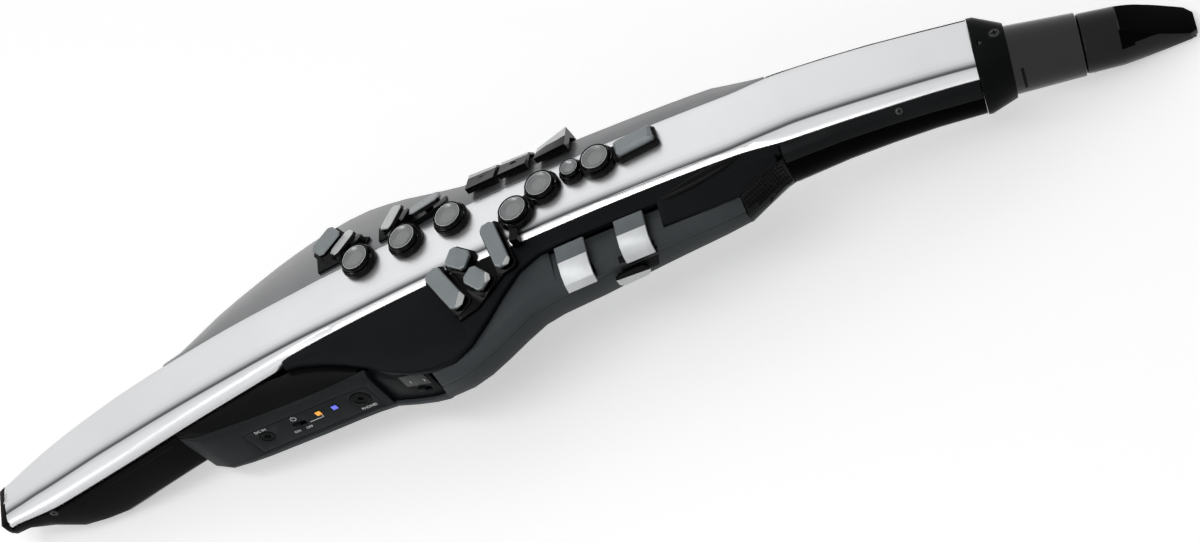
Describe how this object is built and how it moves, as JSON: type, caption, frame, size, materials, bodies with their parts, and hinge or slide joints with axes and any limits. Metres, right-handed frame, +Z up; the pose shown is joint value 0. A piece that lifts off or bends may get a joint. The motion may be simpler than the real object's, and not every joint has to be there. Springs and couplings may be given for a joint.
{
  "type": "digital wind controller",
  "caption": "Long arched electronic wind instrument with a silver front, pearl round keys, plate keys on both sides, a side connector block and a mouthpiece.",
  "frame": {"origin": "on the surface that the instrument lies on, under the middle of its bounding box", "axes": "+X runs along the body to the mouthpiece, +Z up out of the silver front, the connector side faces -Y"},
  "size_m": [0.6922, 0.1344, 0.0842],
  "materials": {
    "silver_front": "fine brushed silver lacquer on moulded plastic",
    "gloss_black": "piano black, polished",
    "satin_black": "satin black",
    "charcoal": "fine grained dark gray",
    "warm_gray": "satin metallic gray",
    "key_gray": "satin gray",
    "palm_silver": "satin silver gray",
    "pearl_keys": "pearl disc in a bright metal rim on a black cap",
    "soft_black": "soft matte black",
    "ring_metal": "plated steel",
    "board": "green circuit board",
    "cells": "steel cells in a printed sleeve"
  },
  "bodies": {
    "body": {"front_panel": "silver_front", "main_board": "board", "near_deck": "satin_black", "near_pod": "gloss_black", "jack_block": "charcoal", "jack_plate": "charcoal", "jack_board": "satin_black", "control_plate": "satin_black", "wing_housing": "charcoal", "speaker_grille": "satin_black", "speaker": "satin_black", "far_side_cover": "warm_gray", "tail_shell": "gloss_black", "battery_pack": "cells", "neck_side_trim": "charcoal", "neck_shell": "gloss_black", "key_base_1": "satin_black", "key_base_2": "satin_black", "key_base_3": "satin_black", "key_base_pair": "satin_black", "key_base_triple": "satin_black", "pinky_base": "satin_black", "far_lower_base_1": "satin_black", "far_lower_base_2": "satin_black", "thumb_rest": "soft_black", "rear_cover": "charcoal", "neck_collar": "charcoal", "neck_tube": "charcoal", "breath_sensor": "satin_black"},
    "round_key_1": {"round_key_1": "pearl_keys"},
    "round_key_2": {"round_key_2": "pearl_keys"},
    "round_key_3": {"round_key_3": "pearl_keys"},
    "round_key_4": {"round_key_4": "pearl_keys"},
    "round_key_5": {"round_key_5": "pearl_keys"},
    "round_key_6": {"round_key_6": "pearl_keys"},
    "round_key_7": {"round_key_7": "pearl_keys"},
    "front_plate_key": {"front_plate_key": "key_gray"},
    "pinky_key_1": {"pinky_key_1": "key_gray"},
    "pinky_key_2": {"pinky_key_2": "key_gray"},
    "pinky_key_3": {"pinky_key_3": "key_gray"},
    "pinky_key_4": {"pinky_key_4": "key_gray"},
    "far_lower_key_1": {"far_lower_key_1": "key_gray"},
    "far_lower_key_2": {"far_lower_key_2": "key_gray"},
    "far_lower_key_3": {"far_lower_key_3": "key_gray"},
    "far_lower_key_4": {"far_lower_key_4": "key_gray"},
    "far_upper_key_1": {"far_upper_key_1": "key_gray"},
    "far_upper_key_2": {"far_upper_key_2": "key_gray"},
    "far_upper_key_3": {"far_upper_key_3": "key_gray"},
    "palm_key_1": {"palm_key_1": "palm_silver"},
    "palm_key_2": {"palm_key_2": "palm_silver"},
    "palm_key_3": {"palm_key_3": "key_gray"},
    "octave_key_down": {"octave_key_down": "key_gray"},
    "octave_key_up": {"octave_key_up": "key_gray"},
    "power_slider": {"power_slider": "satin_black"},
    "mode_slider": {"mode_slider": "satin_black"},
    "battery_door": {"battery_door": "gloss_black"},
    "mouthpiece": {"mouthpiece": "gloss_black", "reed": "soft_black"},
    "strap_ring": {"strap_ring": "ring_metal"},
    "thumb_hook": {"thumb_hook": "charcoal"}
  },
  "joints": [
    {"name": "round_key_1_press", "type": "slide", "parent": "body", "child": "round_key_1", "axis": [0.0798, 0, -0.9968], "range_m": [0, 0.0022], "stiffness_N_per_m": 150, "springref_m": -0.002},
    {"name": "round_key_2_press", "type": "slide", "parent": "body", "child": "round_key_2", "axis": [0.0558, 0, -0.9984], "range_m": [0, 0.0022], "stiffness_N_per_m": 150, "springref_m": -0.002},
    {"name": "round_key_3_press", "type": "slide", "parent": "body", "child": "round_key_3", "axis": [0.0326, 0, -0.9995], "range_m": [0, 0.0022], "stiffness_N_per_m": 150, "springref_m": -0.002},
    {"name": "round_key_4_press", "type": "slide", "parent": "body", "child": "round_key_4", "axis": [0.002, 0, -1], "range_m": [0, 0.0022], "stiffness_N_per_m": 150, "springref_m": -0.002},
    {"name": "round_key_5_press", "type": "slide", "parent": "body", "child": "round_key_5", "axis": [0, 0, -1], "range_m": [0, 0.0022], "stiffness_N_per_m": 150, "springref_m": -0.002},
    {"name": "round_key_6_press", "type": "slide", "parent": "body", "child": "round_key_6", "axis": [-0.0245, 0, -0.9997], "range_m": [0, 0.0022], "stiffness_N_per_m": 150, "springref_m": -0.002},
    {"name": "round_key_7_press", "type": "slide", "parent": "body", "child": "round_key_7", "axis": [-0.0122, 0, -0.9999], "range_m": [0, 0.0022], "stiffness_N_per_m": 150, "springref_m": -0.002},
    {"name": "front_plate_key_press", "type": "slide", "parent": "body", "child": "front_plate_key", "axis": [-0.0428, 0, -0.9991], "range_m": [0, 0.0022], "stiffness_N_per_m": 150, "springref_m": -0.002},
    {"name": "pinky_key_1_press", "type": "slide", "parent": "body", "child": "pinky_key_1", "axis": [0.0393, 0.2607, -0.9646], "range_m": [0, 0.002], "stiffness_N_per_m": 150, "springref_m": -0.002},
    {"name": "pinky_key_2_press", "type": "slide", "parent": "body", "child": "pinky_key_2", "axis": [0.0302, 0.2607, -0.965], "range_m": [0, 0.002], "stiffness_N_per_m": 150, "springref_m": -0.002},
    {"name": "pinky_key_3_press", "type": "slide", "parent": "body", "child": "pinky_key_3", "axis": [0.0245, 0.2607, -0.9651], "range_m": [0, 0.002], "stiffness_N_per_m": 150, "springref_m": -0.002},
    {"name": "pinky_key_4_press", "type": "slide", "parent": "body", "child": "pinky_key_4", "axis": [0.0129, 0.2607, -0.9653], "range_m": [0, 0.002], "stiffness_N_per_m": 150, "springref_m": -0.002},
    {"name": "far_lower_key_1_press", "type": "slide", "parent": "body", "child": "far_lower_key_1", "axis": [0.0948, 0, -0.9955], "range_m": [0, 0.002], "stiffness_N_per_m": 150, "springref_m": -0.002},
    {"name": "far_lower_key_2_press", "type": "slide", "parent": "body", "child": "far_lower_key_2", "axis": [0.0858, 0, -0.9963], "range_m": [0, 0.002], "stiffness_N_per_m": 150, "springref_m": -0.002},
    {"name": "far_lower_key_3_press", "type": "slide", "parent": "body", "child": "far_lower_key_3", "axis": [0.0601, 0, -0.9982], "range_m": [0, 0.002], "stiffness_N_per_m": 150, "springref_m": -0.002},
    {"name": "far_lower_key_4_press", "type": "slide", "parent": "body", "child": "far_lower_key_4", "axis": [0.044, 0, -0.999], "range_m": [0, 0.002], "stiffness_N_per_m": 150, "springref_m": -0.002},
    {"name": "far_upper_key_1_press", "type": "slide", "parent": "body", "child": "far_upper_key_1", "axis": [0.0163, 0, -0.9999], "range_m": [0, 0.0015], "stiffness_N_per_m": 200, "springref_m": -0.002},
    {"name": "far_upper_key_2_press", "type": "slide", "parent": "body", "child": "far_upper_key_2", "axis": [0.0004, 0, -1], "range_m": [0, 0.0015], "stiffness_N_per_m": 200, "springref_m": -0.002},
    {"name": "far_upper_key_3_press", "type": "slide", "parent": "body", "child": "far_upper_key_3", "axis": [-0.0039, 0, -1], "range_m": [0, 0.0015], "stiffness_N_per_m": 200, "springref_m": -0.002},
    {"name": "palm_key_1_press", "type": "slide", "parent": "body", "child": "palm_key_1", "axis": [-0.0027, 0, -1], "range_m": [0, 0.002], "stiffness_N_per_m": 150, "springref_m": -0.002},
    {"name": "palm_key_2_press", "type": "slide", "parent": "body", "child": "palm_key_2", "axis": [-0.0313, 0, -0.9995], "range_m": [0, 0.002], "stiffness_N_per_m": 150, "springref_m": -0.002},
    {"name": "palm_key_3_press", "type": "slide", "parent": "body", "child": "palm_key_3", "axis": [-0.0638, 0.998, 0.0015], "range_m": [0, 0.0012], "stiffness_N_per_m": 200, "springref_m": -0.002},
    {"name": "octave_key_down_press", "type": "slide", "parent": "body", "child": "octave_key_down", "axis": [-0.0101, 0, 0.9999], "range_m": [0, 0.0015], "stiffness_N_per_m": 200, "springref_m": -0.002},
    {"name": "octave_key_up_press", "type": "slide", "parent": "body", "child": "octave_key_up", "axis": [-0.0017, 0, 1], "range_m": [0, 0.0015], "stiffness_N_per_m": 200, "springref_m": -0.002},
    {"name": "power_slider_move", "type": "slide", "parent": "body", "child": "power_slider", "axis": [0.9824, -0.1385, 0.1256], "range_m": [0, 0.003]},
    {"name": "mode_slider_move", "type": "slide", "parent": "body", "child": "mode_slider", "axis": [0.9403, -0.3339, 0.0656], "range_m": [0, 0.003]},
    {"name": "battery_door_off", "type": "slide", "parent": "body", "child": "battery_door", "axis": [0.2533, 0, -0.9674], "range_m": [0, 0.02]},
    {"name": "mouthpiece_off", "type": "slide", "parent": "body", "child": "mouthpiece", "axis": [0.9623, 0, -0.2719], "range_m": [0, 0.03]},
    {"name": "strap_ring_swing", "type": "hinge", "parent": "body", "child": "strap_ring", "pos_m": [0.01795, -0.00022, 0.02506], "axis": [0, -1, 0], "range_deg": [0, 90]},
    {"name": "thumb_hook_adjust", "type": "slide", "parent": "body", "child": "thumb_hook", "axis": [0.9992, 0, 0.0401], "range_m": [-0.006, 0.006]}
  ]
}
